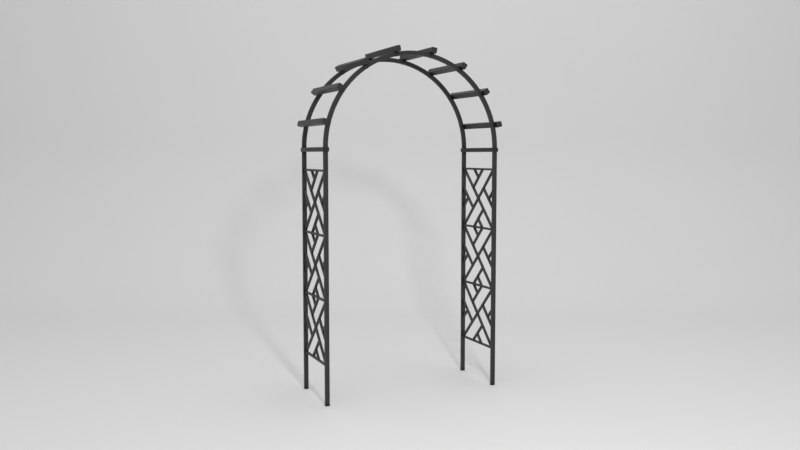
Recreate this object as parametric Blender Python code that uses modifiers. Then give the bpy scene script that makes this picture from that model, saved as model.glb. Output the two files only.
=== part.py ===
"""Metal garden trellis arch: lattice side panels, semicircular rails and box-section cross slats.

Units are metres. X runs across the walk-through, Y from front to back and Z up.
The origin is on the ground, under the middle of the arch.
"""

from math import radians

import bmesh
import bpy
from mathutils import Matrix, Vector

# Overall layout
SPAN = 1.300  # post centre to post centre, across the walk-through
DEPTH = 0.468  # front post centre to back post centre
SPRING_HEIGHT = 1.764  # where the round part of the arch begins
ARCH_RADIUS = SPAN / 2  # centre line of the arch rails
FIT_GAP = 0.0003  # clearance between pieces that touch
MERGE_DISTANCE = 0.00001  # vertices closer than this are one vertex

# Rectangular tube of the posts and the arch rails
TUBE_WIDTH = 0.030  # across the walk-through on a post, radial on a rail
TUBE_DEPTH = 0.020  # front to back
TUBE_WALL = 0.0015
RAIL_FACETS = 32  # straight steps in a quarter of the arch

# Plastic insert that closes the foot of a post
CAP_FLANGE = 0.003
CAP_PLUG = 0.022
CAP_TAPER = 0.94  # width of the plug's end over the width at its flange

# Box-section crossbar that joins two posts to two rails at the spring line
CROSSBAR_WIDTH = 0.043
CROSSBAR_LENGTH = 0.498
CROSSBAR_HEIGHT = 0.031
CROSSBAR_WALL = 0.002
CROSSBAR_CORNER = 0.0065  # outer radius of its four long edges

# Spigots: bars that slide into the tubes and align them
SPIGOT_WIDTH = TUBE_WIDTH - 2 * TUBE_WALL - 2 * FIT_GAP
SPIGOT_DEPTH = TUBE_DEPTH - 2 * TUBE_WALL - 2 * FIT_GAP
SPIGOT_INSERT = 0.060  # length inside a post
SPIGOT_FACETS = 2  # rail facets that a spigot reaches into a rail

# Side panels: square horizontal bars with a welded lattice in each bay
BAR_SIZE = 0.015
TOP_BAR_HEIGHT = 1.605
BAY_PITCH = 0.442  # bar centre to bar centre
BAYS = 3
LATTICE_HALF = 0.2235  # centre of a bay to where its main diagonals meet the frame's corner
LATTICE_STEP = 0.1565  # between parallel lattice bars, measured level or upright

# Cross slats: closed square tubes on the outside of the rails
SLAT_SIZE = 0.040
SLAT_LENGTH = 0.554
SLAT_WALL = 0.0015
SLAT_CORNER = 0.005  # outer radius of its four long edges
SLATS_PER_SIDE = 4
FIRST_SLAT_ANGLE = radians(11.6)  # from the top of the arch to the nearest slat's middle
SLAT_PITCH = radians(21.4)

# Screw through a rail into a slat, driven from inside the arch
SCREW_RADIUS = 0.0025
SCREW_HEAD_RADIUS = 0.005
SCREW_HEAD_HEIGHT = 0.0028
SCREW_REACH = 0.010  # length inside the slat
SCREW_SIDES = 12

CORNER_FACETS = 3  # straight steps round a long edge of a crossbar or slat

QUARTER_TURN = radians(90)
HALF_TURN = radians(180)
SIDES = {"left": -1, "right": 1}
FACES = {"front": -1, "back": 1}


def clear_scene():
    for item in list(bpy.data.objects):
        bpy.data.objects.remove(item, do_unlink=True)


def new_collection(name):
    collection = bpy.data.collections.new(name)
    bpy.context.scene.collection.children.link(collection)
    return collection


def new_material(name, colour, roughness, metallic):
    material = bpy.data.materials.new(name)
    material.use_nodes = True
    shader = material.node_tree.nodes["Principled BSDF"]
    shader.inputs["Base Color"].default_value = (*colour, 1.0)
    shader.inputs["Roughness"].default_value = roughness
    shader.inputs["Metallic"].default_value = metallic
    return material


def mesh_from(bm, name, material):
    """Closes a bmesh into mesh data with its faces pointing out."""
    bmesh.ops.recalc_face_normals(bm, faces=bm.faces)
    mesh = bpy.data.meshes.new(name)
    bm.to_mesh(mesh)
    bm.free()
    mesh.materials.append(material)
    return mesh


def place(mesh, name, collection, location=(0, 0, 0), turn=(0, 0, 0)):
    item = bpy.data.objects.new(name, mesh)
    item.location = location
    item.rotation_euler = turn
    collection.objects.link(item)
    return item


def add_box(bm, size, centre=(0, 0, 0), turn=Matrix()):
    """Adds a cuboid, turned first and then moved to its centre."""
    matrix = Matrix.Translation(centre) @ turn @ Matrix.Diagonal((*size, 1.0))
    bmesh.ops.create_cube(bm, size=1.0, matrix=matrix)


def add_tube_block(bm, size, corner, centre=(0, 0, 0)):
    """Adds a cuboid whose four edges along Y are rounded."""
    block = bmesh.new()
    add_box(block, size, centre)
    long_edges = [edge for edge in block.edges if is_along_y(edge)]
    bmesh.ops.bevel(
        block, geom=long_edges, affect="EDGES", offset=corner, segments=CORNER_FACETS, profile=0.5
    )
    mesh = bpy.data.meshes.new("block")
    block.to_mesh(mesh)
    block.free()
    bm.from_mesh(mesh)
    bpy.data.meshes.remove(mesh)


def is_along_y(edge):
    start, end = (vert.co for vert in edge.verts)
    return abs(end.y - start.y) > FIT_GAP


def start_section(width, depth, wall=None, offset=0.0):
    """A level rectangle, or a rectangular ring if it has a wall, centred on X = offset."""
    bm = bmesh.new()
    matrix = Matrix.Translation((offset, 0, 0)) @ Matrix.Diagonal((width, depth, 1.0, 1.0))
    bmesh.ops.create_grid(bm, x_segments=1, y_segments=1, size=0.5, matrix=matrix)
    if wall:
        middle = bm.faces[:]
        bmesh.ops.inset_region(
            bm, faces=middle, thickness=wall, use_boundary=True, use_even_offset=True
        )
        bmesh.ops.delete(bm, geom=middle, context="FACES")
    return bm


def extrude_up(bm, faces, height, taper=1.0):
    """Raises faces by height and returns the raised ones. A whole section keeps its lower end."""
    whole_section = len(faces) == len(bm.faces)
    grown = bmesh.ops.extrude_face_region(bm, geom=faces)["geom"]
    verts = [part for part in grown if isinstance(part, bmesh.types.BMVert)]
    bmesh.ops.scale(bm, vec=(taper, taper, 1.0), verts=verts)
    bmesh.ops.translate(bm, vec=(0, 0, height), verts=verts)
    if not whole_section:
        bmesh.ops.delete(bm, geom=faces, context="FACES_ONLY")
    return [part for part in grown if isinstance(part, bmesh.types.BMFace)]


def sweep_over_arch(bm, angle, facets):
    """Carries a level section at X = ARCH_RADIUS round the arch's centre, towards its top."""
    section = bm.verts[:] + bm.edges[:] + bm.faces[:]
    bmesh.ops.spin(bm, geom=section, cent=(0, 0, 0), axis=(0, -1, 0), angle=angle, steps=facets)


def turned_mesh(name, profile, material, scratch):
    """Turns an (x, z) profile round Z, from its top down its outer side."""
    mesh = bpy.data.meshes.new(name)
    points = [(x, 0.0, z) for x, z in profile]
    mesh.from_pydata(points, [(i, i + 1) for i in range(len(points) - 1)], [])
    item = place(mesh, name, scratch)
    screw = item.modifiers.new("turn", "SCREW")
    screw.steps = SCREW_SIDES
    screw.render_steps = SCREW_SIDES
    screw.use_merge_vertices = True
    screw.merge_threshold = MERGE_DISTANCE
    screw.use_normal_calculate = True
    return baked(item, name, material)


def baked(item, name, material):
    """The evaluated mesh of a scratch object, which is then removed."""
    bpy.context.view_layer.update()
    graph = bpy.context.evaluated_depsgraph_get()
    mesh = bpy.data.meshes.new_from_object(item.evaluated_get(graph))
    mesh.name = name
    mesh.materials.clear()
    mesh.materials.append(material)
    bpy.data.objects.remove(item, do_unlink=True)
    return mesh


def cut_mesh(bm, cutter_bm, name, material, scratch, operation="DIFFERENCE"):
    """The mesh that is left when a cutter, of one or more overlapping solids, works on a solid."""
    item = place(mesh_from(bm, name, material), name, scratch)
    cutter = place(mesh_from(cutter_bm, name + "_cutter", material), name + "_cutter", scratch)
    cutter.hide_render = True
    cutter.display_type = "WIRE"
    cut = item.modifiers.new("cut", "BOOLEAN")
    cut.operation = operation
    cut.object = cutter
    cut.use_self = True
    weld = item.modifiers.new("weld", "WELD")
    weld.merge_threshold = MERGE_DISTANCE
    result = baked(item, name, material)
    bpy.data.objects.remove(cutter, do_unlink=True)
    return result


def slat_angles():
    """Angle of each slat from the top of the arch, positive to the right, from left to right."""
    right = [FIRST_SLAT_ANGLE + SLAT_PITCH * i for i in range(SLATS_PER_SIDE)]
    return [-angle for angle in reversed(right)] + right


def on_arch(angle, radius):
    """Point of the arch's plane at an angle from its top."""
    return Matrix.Rotation(angle, 4, "Y") @ Vector((0, 0, radius))


def post_mesh(paint):
    bm = start_section(TUBE_WIDTH, TUBE_DEPTH, TUBE_WALL)
    bottom = CAP_FLANGE + FIT_GAP
    top = SPRING_HEIGHT - CROSSBAR_HEIGHT - 2 * FIT_GAP
    bmesh.ops.translate(bm, vec=(0, 0, bottom), verts=bm.verts)
    extrude_up(bm, bm.faces[:], top - bottom)
    return mesh_from(bm, "post", paint)


def foot_cap_mesh(plastic):
    bm = start_section(TUBE_WIDTH, TUBE_DEPTH)
    flange_top = extrude_up(bm, bm.faces[:], CAP_FLANGE)
    bmesh.ops.inset_region(bm, faces=flange_top, thickness=TUBE_WALL + FIT_GAP, use_even_offset=True)
    extrude_up(bm, flange_top, CAP_PLUG, CAP_TAPER)
    return mesh_from(bm, "foot_cap", plastic)


def panel_bar_mesh(paint):
    bm = bmesh.new()
    length = DEPTH - TUBE_DEPTH - 2 * FIT_GAP
    add_box(bm, (BAR_SIZE, length, BAR_SIZE))
    return mesh_from(bm, "panel_bar", paint)


def lattice_lines():
    """Centre lines of a bay's bars, as outer and inner ends in (y, z).

    Two diagonals cross the whole bay. Eight shorter bars run beside them, at the same angle, from
    the frame to the first bar that stops them.
    """
    half = LATTICE_HALF
    step = LATTICE_STEP
    short = [
        ((step - half, half), (step / 2, step / 2)),
        ((half - step, half), (0, step)),
        ((-half, step - half), (-step / 2, step / 2)),
        ((-half, half - step), (-step, 0)),
    ]
    turned = [((-y1, -z1), (-y2, -z2)) for (y1, z1), (y2, z2) in short]
    beyond = half + BAR_SIZE
    diagonals = [((-beyond, -beyond), (beyond, beyond)), ((-beyond, beyond), (beyond, -beyond))]
    return diagonals + short + turned


def add_lattice_bar(bm, outer_end, inner_end, thickness):
    """Adds a bar along a line in (y, z), with its outer end run on past the frame."""
    start = Vector((0, *outer_end))
    end = Vector((0, *inner_end))
    direction = (end - start).normalized()
    start -= direction * BAR_SIZE
    turn = direction.to_track_quat("Z", "X").to_matrix().to_4x4()
    add_box(bm, (BAR_SIZE, thickness, (end - start).length), (start + end) / 2, turn)


def lattice_mesh(paint, scratch):
    """Ten welded bars, trimmed to their bay.

    Each bar starts with a thickness of its own, so that no two faces coincide where bars meet. The
    trim leaves all of them flush, at the size of a square bar.
    """
    bm = bmesh.new()
    for i, (outer_end, inner_end) in enumerate(lattice_lines()):
        add_lattice_bar(bm, outer_end, inner_end, (2 + i) * BAR_SIZE)
    window = bmesh.new()
    clear_depth = DEPTH - TUBE_DEPTH - 2 * FIT_GAP
    clear_height = BAY_PITCH - BAR_SIZE - 2 * FIT_GAP
    add_box(window, (BAR_SIZE, clear_depth, clear_height))
    return cut_mesh(bm, window, "lattice", paint, scratch, "INTERSECT")


def crossbar_mesh(paint, scratch):
    """Closed box bar, pierced top and bottom where the spigots pass through."""
    bm = bmesh.new()
    outer = Vector((CROSSBAR_WIDTH, CROSSBAR_LENGTH, CROSSBAR_HEIGHT))
    wall = Vector((CROSSBAR_WALL,) * 3)
    slot = (SPIGOT_WIDTH + 2 * FIT_GAP, SPIGOT_DEPTH + 2 * FIT_GAP, 2 * CROSSBAR_HEIGHT)
    add_tube_block(bm, outer, CROSSBAR_CORNER)
    hollow = bmesh.new()
    add_tube_block(hollow, outer - 2 * wall, CROSSBAR_CORNER - CROSSBAR_WALL)
    for side in FACES.values():
        add_box(hollow, slot, (0, side * DEPTH / 2, 0))
    return cut_mesh(bm, hollow, "crossbar", paint, scratch)


def rail_mesh(paint, scratch):
    """Quarter of the arch, round its centre, from the spring line to the top."""
    bm = start_section(TUBE_WIDTH, TUBE_DEPTH, TUBE_WALL, ARCH_RADIUS)
    sweep_over_arch(bm, QUARTER_TURN - FIT_GAP / 2 / ARCH_RADIUS, RAIL_FACETS)
    holes = bmesh.new()
    for angle in slat_angles()[SLATS_PER_SIDE:]:
        add_screw_hole(holes, on_arch(angle, ARCH_RADIUS), angle, 2 * TUBE_WIDTH)
    return cut_mesh(bm, holes, "rail", paint, scratch)


def add_screw_hole(bm, centre, angle, length):
    """Adds the cylinder that clears a screw, along the arch's radius at an angle from its top."""
    radius = SCREW_RADIUS + FIT_GAP
    matrix = Matrix.Translation(centre) @ Matrix.Rotation(angle, 4, "Y")
    bmesh.ops.create_cone(
        bm,
        cap_ends=True,
        segments=SCREW_SIDES,
        radius1=radius,
        radius2=radius,
        depth=length,
        matrix=matrix,
    )


def spring_spigot_mesh(steel):
    """Solid bar through a crossbar: straight inside the post, curved inside the rail."""
    bm = start_section(SPIGOT_WIDTH, SPIGOT_DEPTH, offset=ARCH_RADIUS)
    sweep_over_arch(bm, SPIGOT_FACETS * QUARTER_TURN / RAIL_FACETS, SPIGOT_FACETS)
    bottom = [face for face in bm.faces if abs(face.calc_center_median().z) < FIT_GAP / 2]
    extrude_up(bm, bottom, -(CROSSBAR_HEIGHT + SPIGOT_INSERT))
    return mesh_from(bm, "spring_spigot", steel)


def apex_spigot_mesh(steel):
    """Solid curved bar that spans the joint between two rails at the top of the arch."""
    bm = start_section(SPIGOT_WIDTH, SPIGOT_DEPTH, offset=ARCH_RADIUS)
    facet = QUARTER_TURN / RAIL_FACETS
    sweep_over_arch(bm, 2 * SPIGOT_FACETS * facet, 2 * SPIGOT_FACETS)
    centring = Matrix.Rotation(SPIGOT_FACETS * facet - QUARTER_TURN, 3, "Y")
    bmesh.ops.rotate(bm, cent=(0, 0, 0), matrix=centring, verts=bm.verts)
    return mesh_from(bm, "apex_spigot", steel)


def slat_mesh(paint, scratch):
    """Closed square tube standing on its inner face, with two screw holes in that face."""
    bm = bmesh.new()
    outer = Vector((SLAT_SIZE, SLAT_LENGTH, SLAT_SIZE))
    wall = Vector((SLAT_WALL,) * 3)
    centre = (0, 0, SLAT_SIZE / 2)
    add_tube_block(bm, outer, SLAT_CORNER, centre)
    hollow = bmesh.new()
    add_tube_block(hollow, outer - 2 * wall, SLAT_CORNER - SLAT_WALL, centre)
    for side in FACES.values():
        add_screw_hole(hollow, (0, side * DEPTH / 2, 0), 0, 4 * SLAT_WALL)
    return cut_mesh(bm, hollow, "slat", paint, scratch)


def screw_mesh(blacked, scratch):
    """Pan-head screw with its point up and the underside of its head at zero."""
    length = TUBE_WIDTH + SLAT_WALL + SCREW_REACH
    profile = [
        (0, length),
        (SCREW_RADIUS, length - 2 * SCREW_RADIUS),
        (SCREW_RADIUS, 0),
        (SCREW_HEAD_RADIUS, 0),
        (SCREW_HEAD_RADIUS, -0.4 * SCREW_HEAD_HEIGHT),
        (0.7 * SCREW_HEAD_RADIUS, -0.9 * SCREW_HEAD_HEIGHT),
        (0, -SCREW_HEAD_HEIGHT),
    ]
    return turned_mesh("slat_screw", profile, blacked, scratch)


def build_posts(parts, scratch, paint, plastic, steel):
    """Each corner's post, foot cap, spring-line spigot and arch rail."""
    post = post_mesh(paint)
    foot_cap = foot_cap_mesh(plastic)
    rail = rail_mesh(paint, scratch)
    spigot = spring_spigot_mesh(steel)
    for side_name, side in SIDES.items():
        facing = (0, 0, 0 if side > 0 else HALF_TURN)
        for face_name, face in FACES.items():
            corner = face_name + "_" + side_name
            foot = (side * SPAN / 2, face * DEPTH / 2, 0)
            arch_centre = (0, face * DEPTH / 2, SPRING_HEIGHT)
            place(post, "post_" + corner, parts, foot)
            place(foot_cap, "foot_cap_" + corner, parts, foot)
            place(rail, "rail_" + corner, parts, arch_centre, facing)
            place(spigot, "spring_spigot_" + corner, parts, arch_centre, facing)


def build_side_panels(parts, scratch, paint):
    """Each side's crossbar, horizontal bars and welded lattices."""
    crossbar = crossbar_mesh(paint, scratch)
    bar = panel_bar_mesh(paint)
    lattice = lattice_mesh(paint, scratch)
    for side_name, side in SIDES.items():
        x = side * SPAN / 2
        crossbar_z = SPRING_HEIGHT - FIT_GAP - CROSSBAR_HEIGHT / 2
        place(crossbar, "crossbar_" + side_name, parts, (x, 0, crossbar_z))
        for i in range(BAYS + 1):
            z = TOP_BAR_HEIGHT - i * BAY_PITCH
            place(bar, f"panel_bar_{side_name}_{i + 1}", parts, (x, 0, z))
        for i in range(BAYS):
            z = TOP_BAR_HEIGHT - (i + 0.5) * BAY_PITCH
            place(lattice, f"lattice_{side_name}_{i + 1}", parts, (x, 0, z))


def build_arch_top(parts, scratch, paint, steel, blacked):
    """The slats, the screws that hold them and the spigots at the top of the arch."""
    slat = slat_mesh(paint, scratch)
    screw = screw_mesh(blacked, scratch)
    apex_spigot = apex_spigot_mesh(steel)
    outside = ARCH_RADIUS + TUBE_WIDTH / 2 + FIT_GAP
    inside = ARCH_RADIUS - TUBE_WIDTH / 2 - 2 * FIT_GAP
    for i, angle in enumerate(slat_angles()):
        centre = Vector((0, 0, SPRING_HEIGHT)) + on_arch(angle, outside)
        place(slat, f"slat_{i + 1}", parts, centre, (0, angle, 0))
        for face_name, face in FACES.items():
            head = Vector((0, face * DEPTH / 2, SPRING_HEIGHT)) + on_arch(angle, inside)
            place(screw, f"slat_screw_{face_name}_{i + 1}", parts, head, (0, angle, 0))
    for face_name, face in FACES.items():
        top = (0, face * DEPTH / 2, SPRING_HEIGHT)
        place(apex_spigot, "apex_spigot_" + face_name, parts, top)


def main():
    clear_scene()
    parts = new_collection("trellis_arch")
    scratch = new_collection("cutters")
    paint = new_material("charcoal_powder_coat", (0.040, 0.040, 0.041), 0.50, 0.0)
    plastic = new_material("black_plastic", (0.020, 0.020, 0.020), 0.60, 0.0)
    steel = new_material("zinc_plated_steel", (0.40, 0.41, 0.42), 0.35, 1.0)
    blacked = new_material("blacked_screw", (0.045, 0.045, 0.046), 0.40, 0.0)
    build_posts(parts, scratch, paint, plastic, steel)
    build_side_panels(parts, scratch, paint)
    build_arch_top(parts, scratch, paint, steel, blacked)


main()
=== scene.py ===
"""Looks of the metal trellis arch: powder-coated tubes, weld beads and socket screws, in a studio.

Units are metres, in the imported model's frame: X runs across the walk-through, Y from front to
back and Z up, with the origin on the ground under the middle of the arch.
"""

from math import cos, pi, radians, sin, tau

import bmesh
import bpy
from mathutils import Matrix, Vector, noise


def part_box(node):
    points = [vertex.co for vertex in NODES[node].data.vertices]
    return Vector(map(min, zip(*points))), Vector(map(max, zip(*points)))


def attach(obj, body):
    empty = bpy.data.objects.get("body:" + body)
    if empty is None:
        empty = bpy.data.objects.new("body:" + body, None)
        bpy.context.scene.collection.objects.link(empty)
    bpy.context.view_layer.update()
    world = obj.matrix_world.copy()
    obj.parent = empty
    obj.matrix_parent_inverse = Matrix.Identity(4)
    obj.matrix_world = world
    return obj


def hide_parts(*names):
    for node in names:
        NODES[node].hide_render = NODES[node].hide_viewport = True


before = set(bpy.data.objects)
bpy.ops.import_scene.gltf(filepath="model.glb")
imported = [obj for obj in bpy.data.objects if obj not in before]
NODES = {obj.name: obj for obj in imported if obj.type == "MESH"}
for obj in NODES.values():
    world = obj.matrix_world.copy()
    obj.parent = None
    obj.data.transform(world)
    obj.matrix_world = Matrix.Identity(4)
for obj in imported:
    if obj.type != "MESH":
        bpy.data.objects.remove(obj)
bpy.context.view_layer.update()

# Camera
CAMERA_PLACE = Vector((-2.500, -5.593, 1.712))
CAMERA_YAW = radians(24.075)  # clockwise from +Y, seen from above
CAMERA_PITCH = radians(-4.760)
CAMERA_LENS = 37.954  # mm
CAMERA_SENSOR = 36.0  # mm

# Studio sweep: a floor that curves up into a wall square to the camera
SWEEP_START = 8.85  # level distance from the camera to the foot of the curve
SWEEP_RADIUS = 1.93
WALL_HEIGHT = 7.0
WALL_LIFT = 0.0005  # keeps the foot of the wall clear of the floor
STAGE_HALF_WIDTH = 14.0
FLOOR_REACH = 40.0
SWEEP_STEPS = 24
PAPER_GREY = 0.80
PAPER_TONES = (0.9875, 1.0125)
PAPER_GRAIN = 0.7  # features per metre, as all the grains are
PAPER_ROUGHNESS = 0.9
PAPER_SPECULAR = 0.2

# Studio light
KEY_PLACE = (-1.09, -4.95, 3.45)
KEY_TARGET = (0.2, 0.5, 0.9)
KEY_SIZE = 0.36
KEY_POWER = 96
OVERHEAD_PLACE = (0.5, 0.0, 7.5)
OVERHEAD_TARGET = (0.5, 0.5, 0.0)
OVERHEAD_LENGTH = 9.0
OVERHEAD_WIDTH = 7.0
OVERHEAD_POWER = 126
SHEEN_PLACES = {"front": KEY_PLACE, "side": (-4.0, -1.0, 3.0), "back": (2.5, 4.0, 3.5)}
SHEEN_TARGET = (0.0, 0.0, 1.4)
SHEEN_SIZE = 1.4  # soft enough to leave no hard glare on the coat
SHEEN_POWER = 14
ROOM_LIGHT = 0.565  # the room's own glow
ROOM_SEEN = 0.452  # what the camera sees past the stage: the tone of the far floor

# Powder coat; a tone beside another is a multiple of the coat's own
DRIFT_GRAIN = 7.0
DRIFT_TONES = (0.82, 1.18)
MOTTLE_GRAIN = 160.0
MOTTLE_TONE = 1.5
MOTTLE_SHARE = (0.0, 0.5)
WEAR_REACH = 0.0022  # how far the rubbed edges spread
WEAR_TONE = 3.0
WEAR_SHARE = (0.15, 0.8)
DUST_GREY = 0.16
DUST_WARMTH = 0.05
DUST_SHARE = (0.03, 0.16)
DUST_DULLING = 0.8  # roughness added by full dust
PEEL_GRAIN = 380.0
PEEL_DEPTH = 0.00028
GRIT_GRAIN = 1500.0
GRIT_DEPTH = 0.00006
COAT_SPECULAR = 0.28
COAT_SPREAD = 0.05  # how far the roughness varies, up and down
PAINTED_SHADE_REACH = 0.035  # how far the painted shade in a corner spreads

# Moulded plastic and plated steel
PLASTIC_GRAIN = 60.0
PLASTIC_TONES = (0.85, 1.2)
PORE_GRAIN = 2600.0
PORE_DEPTH = 0.00003
PORE_SPREAD = 0.08
SCUFF_REACH = 0.001
SCUFF_TONE = 2.5
DRAWING_GRAIN = 900.0
DRAWING_STRETCH = (1.0, 1.0, 0.05)
DRAWING_TONES = (0.8, 1.1)
DRAWING_DEPTH = 0.00002
DRAWING_SPREAD = 0.09

# Where each mask begins and ends
EDGE_RANGE = (0.995, 0.93)  # likeness of the rounded and the flat normal
PAINTED_SHADE_RANGE = (0.30, 0.90)  # share of the surroundings that is open, for the painted corner shade
UPWARD_RANGE = (0.45, 0.95)  # upward part of the normal
GLOSS_RANGE = (0.3, 0.7)  # noise, here and below
MOTTLE_RANGE = (0.35, 0.65)
WEAR_RANGE = (0.4, 0.7)
DUST_RANGE = (0.3, 0.8)

# Rounded edges of the CAD pieces
TUBE_ROUNDING = 0.0007  # under half of the tube wall
END_ROUNDING = 0.0012  # ends of the crossbars and slats
BAR_ROUNDING = 0.0010
CAP_ROUNDING = 0.0008
MERGE_DISTANCE = 0.00001
SHARP_ANGLE = radians(35)
FLAT_ANGLE = radians(1)

# Side panels, as in the CAD
BAR_SIZE = 0.015
LATTICE_STEP = 0.1565

# Weld beads
BEAD_RADIUS = 0.0022
BEAD_RIPPLE = 0.0014  # from one ripple to the next
BEAD_SIDES = 8
RIPPLE_HEIGHT = 0.10  # share of the bead's radius, as the lumps are
LUMP_HEIGHT = 0.18
LUMP_GRAIN = 200
TIP_SHARE = 0.25  # the bead's radius at its tips
TAPER_RATE = 4.0  # full radius is reached within a fifth of the bead

# Slat screws
SCREW_RADIUS = 0.0025
HEAD_RADIUS = 0.005
HEAD_HEIGHT = 0.0028
SOCKET_APOTHEM = 0.0015
# (depth, radius) of the head's rings, as shares of its own
HEAD_DOME = [(0.0, 1.0), (0.35, 1.0), (0.62, 0.93), (0.82, 0.80), (0.95, 0.62), (1.0, 0.45)]
SOCKET_DEPTH = 0.0015
SOCKET_CONE = 1.15  # depth of the socket's drilled middle, in socket depths
SCREW_SIDES = 48


def link(item):
    bpy.context.scene.collection.objects.link(item)
    return item


def smooth_mesh(name, bm, material):
    """Turns a bmesh into a smooth-shaded mesh, and frees it."""
    mesh = bpy.data.meshes.new(name)
    for face in bm.faces:
        face.smooth = True
    bm.to_mesh(mesh)
    bm.free()
    mesh.materials.append(material)
    return mesh


def new_piece(name, bm, material):
    """Turns a bmesh into a piece that rides on the arch."""
    bmesh.ops.recalc_face_normals(bm, faces=bm.faces)
    mesh = smooth_mesh(name, bm, material)
    mesh.set_sharp_from_angle(angle=SHARP_ANGLE)
    piece = link(bpy.data.objects.new(name, mesh))
    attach(piece, "root")
    return piece


# Materials


def new_shader(name):
    material = bpy.data.materials.new(name)
    material.use_nodes = True
    return material, material.node_tree, material.node_tree.nodes["Principled BSDF"]


def feed(tree, socket, value):
    """Gives an input its value: a number, a tuple or the socket that feeds it."""
    if isinstance(value, bpy.types.NodeSocket):
        tree.links.new(value, socket)
    else:
        socket.default_value = value


def feed_all(tree, node, inputs):
    for key, value in inputs.items():
        feed(tree, node.inputs[key], value)


def add_node(tree, kind, inputs=None, **settings):
    node = tree.nodes.new(kind)
    for key, value in settings.items():
        setattr(node, key, value)
    feed_all(tree, node, inputs or {})
    return node


def calculate(tree, operation, first, second):
    return add_node(tree, "ShaderNodeMath", {0: first, 1: second}, operation=operation).outputs[0]


def rescale(tree, value, source, target=(0.0, 1.0)):
    """Maps a value from one range to another, and clamps it."""
    inputs = {
        "Value": value,
        "From Min": source[0],
        "From Max": source[1],
        "To Min": target[0],
        "To Max": target[1],
    }
    return add_node(tree, "ShaderNodeMapRange", inputs).outputs["Result"]


def mix_colour(tree, factor, first, second):
    inputs = {"Factor": factor, "A": first, "B": second}
    node = add_node(tree, "ShaderNodeMix", data_type="RGBA")
    for key, value in inputs.items():
        feed(tree, next(s for s in node.inputs if s.name == key and s.enabled), value)
    return next(s for s in node.outputs if s.enabled)


def grain(tree, scale, detail=2.0, stretch=(1.0, 1.0, 1.0)):
    """Noise in the object's own space; scale is in features per metre."""
    coordinates = add_node(tree, "ShaderNodeTexCoord").outputs["Object"]
    mapped = add_node(tree, "ShaderNodeMapping", {"Vector": coordinates, "Scale": stretch})
    inputs = {"Vector": mapped.outputs["Vector"], "Scale": scale, "Detail": detail}
    return add_node(tree, "ShaderNodeTexNoise", inputs).outputs["Fac"]


def edge_mask(tree, radius):
    """One on rounded edges and corners, zero on flat faces."""
    rounded = add_node(tree, "ShaderNodeBevel", {"Radius": radius}, samples=6).outputs["Normal"]
    flat = add_node(tree, "ShaderNodeNewGeometry").outputs["Normal"]
    inputs = {0: rounded, 1: flat}
    likeness = add_node(tree, "ShaderNodeVectorMath", inputs, operation="DOT_PRODUCT")
    return rescale(tree, likeness.outputs["Value"], EDGE_RANGE)


def painted_corner_shade_mask(tree):
    """Painted shade: one in the open, zero deep in the corners between pieces."""
    inputs = {"Distance": PAINTED_SHADE_REACH}
    unshaded_share = add_node(tree, "ShaderNodeAmbientOcclusion", inputs, samples=8).outputs["AO"]
    return rescale(tree, unshaded_share, PAINTED_SHADE_RANGE)


def upward_mask(tree):
    """One on level upward faces, zero on upright and downward ones."""
    normal = add_node(tree, "ShaderNodeNewGeometry").outputs["Normal"]
    height = add_node(tree, "ShaderNodeSeparateXYZ", {0: normal}).outputs["Z"]
    return rescale(tree, height, UPWARD_RANGE)


def add_bump(tree, height, depth):
    inputs = {"Height": height, "Distance": depth, "Strength": 1.0}
    return add_node(tree, "ShaderNodeBump", inputs)


def grey(level, warmth=0.0):
    return (level * (1 + warmth), level, level * (1 - warmth), 1.0)


def uneven(tree, pattern, level, spread):
    """Roughness that varies with a pattern."""
    return rescale(tree, pattern, GLOSS_RANGE, (level - spread, level + spread))


def varied(tree, pattern, level, tones):
    """Grey that varies with a pattern, between two multiples of its level."""
    low, high = tones
    return mix_colour(tree, pattern, grey(level * low), grey(level * high))


def coat_tone(tree, level, drift, mottle, dust):
    """Colour of the powder coat: drift and mottle, rubbed edges, then dust."""
    tone = varied(tree, drift, level, DRIFT_TONES)
    mottled = rescale(tree, mottle, MOTTLE_RANGE, MOTTLE_SHARE)
    tone = mix_colour(tree, mottled, tone, grey(level * MOTTLE_TONE))
    patchy = rescale(tree, mottle, WEAR_RANGE, WEAR_SHARE)
    worn = calculate(tree, "MULTIPLY", edge_mask(tree, WEAR_REACH), patchy)
    tone = mix_colour(tree, worn, tone, grey(level * WEAR_TONE))
    return mix_colour(tree, dust, tone, grey(DUST_GREY, DUST_WARMTH))


def powder_coat(name, level, roughness, peel=1.0):
    """Charcoal powder coat with orange peel. Painted shade makes its corners black metal, which
    reflects nothing.
    """
    material, tree, shader = new_shader(name)
    drift = grain(tree, DRIFT_GRAIN, 3.0)
    mottle = grain(tree, MOTTLE_GRAIN, 3.0)
    patchy = rescale(tree, drift, DUST_RANGE, DUST_SHARE)
    dust = calculate(tree, "MULTIPLY", upward_mask(tree), patchy)
    unshaded_share = painted_corner_shade_mask(tree)
    tone = coat_tone(tree, level, drift, mottle, dust)
    gloss = uneven(tree, mottle, roughness, COAT_SPREAD)
    dulling = calculate(tree, "MULTIPLY", dust, DUST_DULLING)
    coarse = add_bump(tree, grain(tree, PEEL_GRAIN, 1.5), PEEL_DEPTH * peel)
    fine = add_bump(tree, grain(tree, GRIT_GRAIN, 2.0), GRIT_DEPTH)
    tree.links.new(coarse.outputs["Normal"], fine.inputs["Normal"])
    shader.inputs["Specular IOR Level"].default_value = COAT_SPECULAR
    inputs = {
        # painted shade: the corners between pieces go black in colour and in reflection
        "Base Color": mix_colour(tree, unshaded_share, grey(0.0), tone),
        "Metallic": calculate(tree, "SUBTRACT", 1.0, unshaded_share),
        "Roughness": calculate(tree, "ADD", gloss, dulling),
        "Normal": fine.outputs["Normal"],
    }
    feed_all(tree, shader, inputs)
    return material


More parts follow.
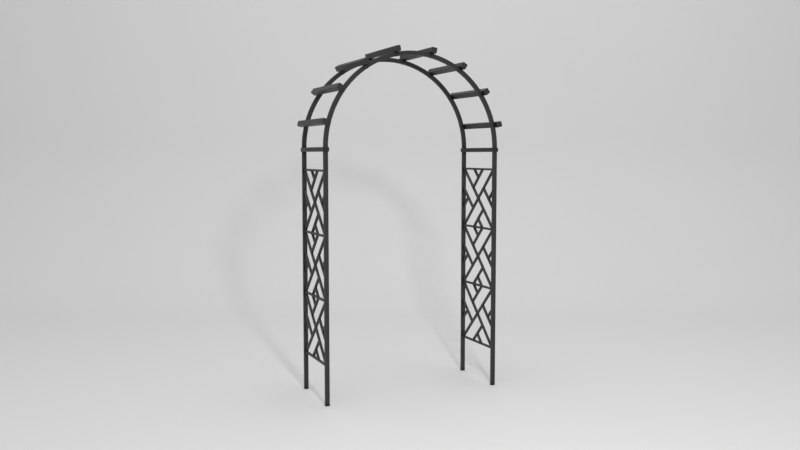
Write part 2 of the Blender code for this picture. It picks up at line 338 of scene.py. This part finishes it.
def moulded_plastic(name, level, roughness):
    """Black moulded plastic with a fine spark-eroded grain and scuffed edges."""
    material, tree, shader = new_shader(name)
    pores = grain(tree, PORE_GRAIN, 2.0)
    tone = varied(tree, grain(tree, PLASTIC_GRAIN, 2.0), level, PLASTIC_TONES)
    scuffed = edge_mask(tree, SCUFF_REACH)
    inputs = {
        "Base Color": mix_colour(tree, scuffed, tone, grey(level * SCUFF_TONE)),
        "Roughness": uneven(tree, pores, roughness, PORE_SPREAD),
        "Normal": add_bump(tree, pores, PORE_DEPTH).outputs["Normal"],
    }
    feed_all(tree, shader, inputs)
    return material


def plated_steel(name, level, roughness):
    """Zinc-plated steel with drawing marks along its length."""
    material, tree, shader = new_shader(name)
    marks = grain(tree, DRAWING_GRAIN, 3.0, DRAWING_STRETCH)
    shader.inputs["Metallic"].default_value = 1.0
    inputs = {
        "Base Color": varied(tree, marks, level, DRAWING_TONES),
        "Roughness": uneven(tree, marks, roughness, DRAWING_SPREAD),
        "Normal": add_bump(tree, marks, DRAWING_DEPTH).outputs["Normal"],
    }
    feed_all(tree, shader, inputs)
    return material


def studio_paper(name, one_way):
    """Matt pale paper. A one-way sheet is clear from behind, so that it hides nothing."""
    material, tree, shader = new_shader(name)
    tone = varied(tree, grain(tree, PAPER_GRAIN, 2.0), PAPER_GREY, PAPER_TONES)
    tree.links.new(tone, shader.inputs["Base Color"])
    shader.inputs["Roughness"].default_value = PAPER_ROUGHNESS
    shader.inputs["Specular IOR Level"].default_value = PAPER_SPECULAR
    if one_way:
        behind = add_node(tree, "ShaderNodeNewGeometry").outputs["Backfacing"]
        clear = add_node(tree, "ShaderNodeBsdfTransparent").outputs[0]
        inputs = {0: behind, 1: shader.outputs[0], 2: clear}
        sheet = add_node(tree, "ShaderNodeMixShader", inputs)
        tree.links.new(sheet.outputs[0], tree.nodes["Material Output"].inputs["Surface"])
    return material


# CAD pieces


def smooth_shading():
    """Node group that shades faces smooth, for a modifier."""
    group = bpy.data.node_groups.new("smooth_shading", "GeometryNodeTree")
    group.interface.new_socket("Geometry", in_out="INPUT", socket_type="NodeSocketGeometry")
    group.interface.new_socket("Geometry", in_out="OUTPUT", socket_type="NodeSocketGeometry")
    start = group.nodes.new("NodeGroupInput")
    smooth = group.nodes.new("GeometryNodeSetShadeSmooth")
    end = group.nodes.new("NodeGroupOutput")
    group.links.new(start.outputs[0], smooth.inputs[0])
    group.links.new(smooth.outputs[0], end.inputs[0])
    return group


def dress(prefixes, material, rounding, segments, smoothing, clamped=False):
    """Gives CAD nodes a material and rounded edges, clamped where narrow faces could overlap."""
    for name, item in NODES.items():
        if not name.startswith(prefixes):
            continue
        item.data.materials.clear()
        item.data.materials.append(material)
        weld = item.modifiers.new("weld", "WELD")
        weld.merge_threshold = MERGE_DISTANCE
        flatten = item.modifiers.new("flatten", "DECIMATE")
        flatten.decimate_type = "DISSOLVE"
        flatten.angle_limit = FLAT_ANGLE
        smooth = item.modifiers.new("smooth", "NODES")
        smooth.node_group = smoothing
        bevel = item.modifiers.new("round", "BEVEL")
        bevel.width = rounding
        bevel.segments = segments
        bevel.limit_method = "ANGLE"
        bevel.angle_limit = SHARP_ANGLE
        bevel.use_clamp_overlap = clamped
        clean = item.modifiers.new("clean", "WELD")
        clean.merge_threshold = MERGE_DISTANCE
        normals = item.modifiers.new("normals", "WEIGHTED_NORMAL")
        normals.weight = 100
        normals.keep_sharp = True


# Weld beads


def add_bead(bm, start, end):
    """A lumpy closed bead along a straight seam, with tapered ends."""
    start = Vector(start)
    end = Vector(end)
    along = end - start
    steps = max(6, round(2 * along.length / BEAD_RIPPLE))
    turn = along.to_track_quat("Z", "Y").to_matrix()
    rings = []
    for i in range(steps + 1):
        share = i / steps
        lump = noise.noise(LUMP_GRAIN * (start + share * along))
        swell = 1 + RIPPLE_HEIGHT * (i % 2) + LUMP_HEIGHT * lump
        taper = min(1.0, TIP_SHARE + TAPER_RATE * min(share, 1 - share))
        ring = []
        for k in range(BEAD_SIDES):
            angle = tau * k / BEAD_SIDES
            offset = Vector((cos(angle), sin(angle), 0)) * BEAD_RADIUS * swell * taper
            ring.append(bm.verts.new(start + share * along + turn @ offset))
        rings.append(ring)
    for lower, upper in zip(rings, rings[1:]):
        for k in range(BEAD_SIDES):
            n = (k + 1) % BEAD_SIDES
            bm.faces.new((lower[k], lower[n], upper[n], upper[k]))
    bm.faces.new(reversed(rings[0]))
    bm.faces.new(rings[-1])


def add_bar_end_beads(bm, low, high):
    """Beads round both ends of a horizontal panel bar, where it meets the posts."""
    for y in (low.y, high.y):
        for z in (low.z, high.z):
            add_bead(bm, (low.x, y, z), (high.x, y, z))
        for x in (low.x, high.x):
            add_bead(bm, (x, y, low.z), (x, y, high.z))


def lattice_strokes(half):
    """The broken lattice bars of a bay, each from the frame to the bar that stops it, in (y, z)."""
    step = LATTICE_STEP
    strokes = [
        ((step - half.z, half.z), (step / 2, step / 2)),
        ((half.z - step, half.z), (0, step)),
        ((-half.y, step - half.y), (-step / 2, step / 2)),
        ((-half.y, half.y - step), (-step, 0)),
    ]
    turned = [((-a[0], -a[1]), (-b[0], -b[1])) for a, b in strokes]
    return strokes + turned


def add_seam(bm, centre, half, low, high):
    """Beads round a flat seam, given by two corners, as far as it lies inside the bay."""
    low = Vector(low)
    high = Vector(high)
    long = 2 if low.y == high.y else 1
    start = max(low[long], -half[long])
    end = min(high[long], half[long])
    for x in (low.x, high.x):
        first = Vector((x, low.y, low.z))
        last = first.copy()
        first[long] = start
        last[long] = end
        add_bead(bm, centre + first, centre + last)
    for place in (low[long], high[long]):
        if start <= place <= end:
            first = low.copy()
            last = high.copy()
            first[long] = place
            last[long] = place
            add_bead(bm, centre + first, centre + last)


def add_lattice_beads(bm, centre, half):
    """Beads where each bar meets the frame, and where a broken bar butts against another."""
    half_bar = BAR_SIZE / 2
    half_depth = Vector((half_bar, 0, 0))
    reach = BAR_SIZE / 2**0.5
    strokes = lattice_strokes(half)
    ends = [(y * half.z, z * half.z) for y in (-1, 1) for z in (-1, 1)]
    ends += [outer for outer, inner in strokes]
    for y, z in ends:
        if abs(z) == half.z:
            add_seam(bm, centre, half, (-half_bar, y - reach, z), (half_bar, y + reach, z))
        else:
            add_seam(bm, centre, half, (-half_bar, y, z - reach), (half_bar, y, z + reach))
    for outer, inner in strokes:
        outer = Vector((0, *outer))
        inner = Vector((0, *inner))
        along = (inner - outer).normalized()
        across = Vector((0, -along.z, along.y))
        for side in (-1, 1):
            corner = centre + inner - along * half_bar + across * side * half_bar
            add_bead(bm, corner - half_depth, corner + half_depth)
    for y, z in ((1, 0), (-1, 0), (0, 1), (0, -1)):
        corner = centre + Vector((0, y, z)) * half_bar * 2**0.5
        add_bead(bm, corner - half_depth, corner + half_depth)


def build_welds(material):
    """One piece of beads for each bar and each bay of both side panels."""
    for name in sorted(NODES):
        if not name.startswith(("panel_bar", "lattice")):
            continue
        bm = bmesh.new()
        low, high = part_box(name)
        if name.startswith("panel_bar"):
            add_bar_end_beads(bm, low, high)
        else:
            add_lattice_beads(bm, (low + high) / 2, (high - low) / 2)
        new_piece("welds_" + name, bm, material)


# Slat screws


def hexagon_radius(angle):
    """Distance from the centre to the side of the socket's hexagon."""
    sector = pi / 3
    return SOCKET_APOTHEM / cos((angle + sector / 2) % sector - sector / 2)


def ring_of(z, radius_at):
    """Points of one ring of a screw, from a function that gives the radius at an angle."""
    angles = [tau * k / SCREW_SIDES for k in range(SCREW_SIDES)]
    return [Vector((radius_at(a) * cos(a), radius_at(a) * sin(a), z)) for a in angles]


def round_ring(z, radius):
    return ring_of(z, lambda angle: radius)


def screw_rings(length):
    """Rings of a screw from its point, which is up, over its domed head and into its socket."""
    rings = [round_ring(z, SCREW_RADIUS) for z in (length - SCREW_RADIUS, 0.0)]
    rings += [round_ring(-depth * HEAD_HEIGHT, share * HEAD_RADIUS) for depth, share in HEAD_DOME]
    rings += [ring_of(z, hexagon_radius) for z in (-HEAD_HEIGHT, -HEAD_HEIGHT + SOCKET_DEPTH)]
    return rings


def add_screw(bm, matrix, length):
    """A socket screw with the underside of its head at zero and its point up."""
    loops = []
    for ring in screw_rings(length):
        loops.append([bm.verts.new(matrix @ point) for point in ring])
    tip = bm.verts.new(matrix @ Vector((0, 0, length)))
    socket_floor = bm.verts.new(matrix @ Vector((0, 0, -HEAD_HEIGHT + SOCKET_DEPTH * SOCKET_CONE)))
    for k in range(SCREW_SIDES):
        n = (k + 1) % SCREW_SIDES
        for upper, lower in zip(loops, loops[1:]):
            bm.faces.new((upper[k], lower[k], lower[n], upper[n]))
        bm.faces.new((tip, loops[0][k], loops[0][n]))
        bm.faces.new((loops[-1][n], loops[-1][k], socket_floor))


def build_screws(material):
    """A socket screw in place of each plain CAD screw, on the line from the arch's centre."""
    rail_low, rail_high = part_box("rail_front_left")
    arch_centre = Vector((rail_high.x, 0, rail_low.z))
    for name in sorted(NODES):
        if not name.startswith("slat_screw"):
            continue
        node = NODES[name]
        low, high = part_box(name)
        arch_centre.y = (low.y + high.y) / 2
        distances = [(vertex.co - arch_centre).length for vertex in node.data.vertices]
        middle = (low + high) / 2
        outward = (middle - arch_centre).normalized()
        start = min(distances) + HEAD_HEIGHT
        length = max(distances) - start
        turn = outward.to_track_quat("Z", "Y").to_matrix().to_4x4()
        bm = bmesh.new()
        add_screw(bm, Matrix.Translation(arch_centre + outward * start) @ turn, length)
        piece = new_piece("socket_" + name, bm, material)
        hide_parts(name)


# Studio


def camera_axes():
    """The camera's level forward and right directions."""
    forward = Vector((sin(CAMERA_YAW), cos(CAMERA_YAW), 0))
    right = Vector((cos(CAMERA_YAW), -sin(CAMERA_YAW), 0))
    return forward, right


def build_camera():
    data = bpy.data.cameras.new("camera")
    data.lens = CAMERA_LENS
    data.sensor_width = CAMERA_SENSOR
    camera = link(bpy.data.objects.new("camera", data))
    camera.location = CAMERA_PLACE
    camera.rotation_euler = (pi / 2 + CAMERA_PITCH, 0, -CAMERA_YAW)
    bpy.context.scene.camera = camera


def add_stage_sheet(name, bm, material):
    link(bpy.data.objects.new(name, smooth_mesh(name, bm, material)))


def sweep_profile():
    """(distance, height) of the points up the curve and the wall."""
    profile = [(0.0, WALL_LIFT)]
    for i in range(1, SWEEP_STEPS + 1):
        angle = pi / 2 * i / SWEEP_STEPS
        profile.append((SWEEP_RADIUS * sin(angle), SWEEP_RADIUS * (1 - cos(angle)) + WALL_LIFT))
    profile.append((SWEEP_RADIUS, WALL_HEIGHT))
    return profile


def build_stage():
    """A level floor all round, and a one-way wall that curves up from it behind the arch."""
    floor = bmesh.new()
    bmesh.ops.create_grid(floor, x_segments=1, y_segments=1, size=FLOOR_REACH)
    add_stage_sheet("floor", floor, studio_paper("floor_paper", False))
    forward, right = camera_axes()
    foot = Vector((CAMERA_PLACE.x, CAMERA_PLACE.y, 0)) + forward * SWEEP_START
    wall = bmesh.new()
    rows = []
    for reach, z in sweep_profile():
        ends = [foot + forward * reach + right * side * STAGE_HALF_WIDTH for side in (-1, 1)]
        rows.append([wall.verts.new((end.x, end.y, z)) for end in ends])
    for lower, upper in zip(rows, rows[1:]):
        wall.faces.new((lower[0], lower[1], upper[1], upper[0]))
    add_stage_sheet("wall", wall, studio_paper("wall_paper", True))


def add_area_light(name, place, target, size, power):
    data = bpy.data.lights.new(name, "AREA")
    data.shape = "DISK"
    data.size = size
    data.energy = power
    lamp = link(bpy.data.objects.new(name, data))
    lamp.location = place
    lamp.rotation_euler = (Vector(target) - Vector(place)).to_track_quat("-Z", "Y").to_euler()
    lamp.visible_camera = False
    return lamp


def build_lights():
    """A key light that casts the shadow, a large dim one overhead, and three for the highlights."""
    key = add_area_light("key", KEY_PLACE, KEY_TARGET, KEY_SIZE, KEY_POWER)
    key.visible_glossy = False  # keeps its glare off the slats
    overhead = add_area_light(
        "overhead", OVERHEAD_PLACE, OVERHEAD_TARGET, OVERHEAD_LENGTH, OVERHEAD_POWER
    )
    overhead.data.shape = "RECTANGLE"
    overhead.data.size_y = OVERHEAD_WIDTH
    for name, place in SHEEN_PLACES.items():
        sheen = add_area_light("sheen_" + name, place, SHEEN_TARGET, SHEEN_SIZE, SHEEN_POWER)
        sheen.visible_diffuse = False  # it only draws highlights on the coat


def build_world():
    """One tone for the light that the room gives, another where the camera sees past the stage."""
    world = bpy.data.worlds.new("studio")
    world.use_nodes = True
    tree = world.node_tree
    seen = add_node(tree, "ShaderNodeLightPath").outputs["Is Camera Ray"]
    tone = mix_colour(tree, seen, grey(ROOM_LIGHT), grey(ROOM_SEEN))
    tree.links.new(tone, tree.nodes["Background"].inputs["Color"])
    bpy.context.scene.world = world


def build_looks():
    """Every finish, the CAD pieces that wear it, and the pieces that the CAD doesn't have."""
    smoothing = smooth_shading()
    tube = powder_coat("tube_powder_coat", level=0.028, roughness=0.45)
    crossbar = powder_coat("crossbar_powder_coat", level=0.017, roughness=0.45)
    lattice = powder_coat("lattice_powder_coat", level=0.025, roughness=0.46, peel=0.8)
    slat = powder_coat("slat_powder_coat", level=0.025, roughness=0.42)
    cap = moulded_plastic("cap_plastic", level=0.020, roughness=0.55)
    zinc = plated_steel("zinc_plated_steel", level=0.45, roughness=0.36)
    blacked = powder_coat("screw_black", level=0.022, roughness=0.35, peel=0.4)
    dress(("post", "rail"), tube, TUBE_ROUNDING, 3, smoothing)
    dress(("crossbar",), crossbar, END_ROUNDING, 3, smoothing)
    dress(("slat",), slat, END_ROUNDING, 3, smoothing)  # and the plain screws, which stay hidden
    dress(("lattice", "panel_bar"), lattice, BAR_ROUNDING, 2, smoothing, clamped=True)
    dress(("foot_cap",), cap, CAP_ROUNDING, 2, smoothing, clamped=True)
    dress(("spring_spigot", "apex_spigot"), zinc, CAP_ROUNDING, 1, smoothing, clamped=True)
    build_welds(lattice)
    build_screws(blacked)


bpy.context.scene.view_settings.view_transform = "Standard"
build_looks()
build_stage()
build_lights()
build_world()
build_camera()
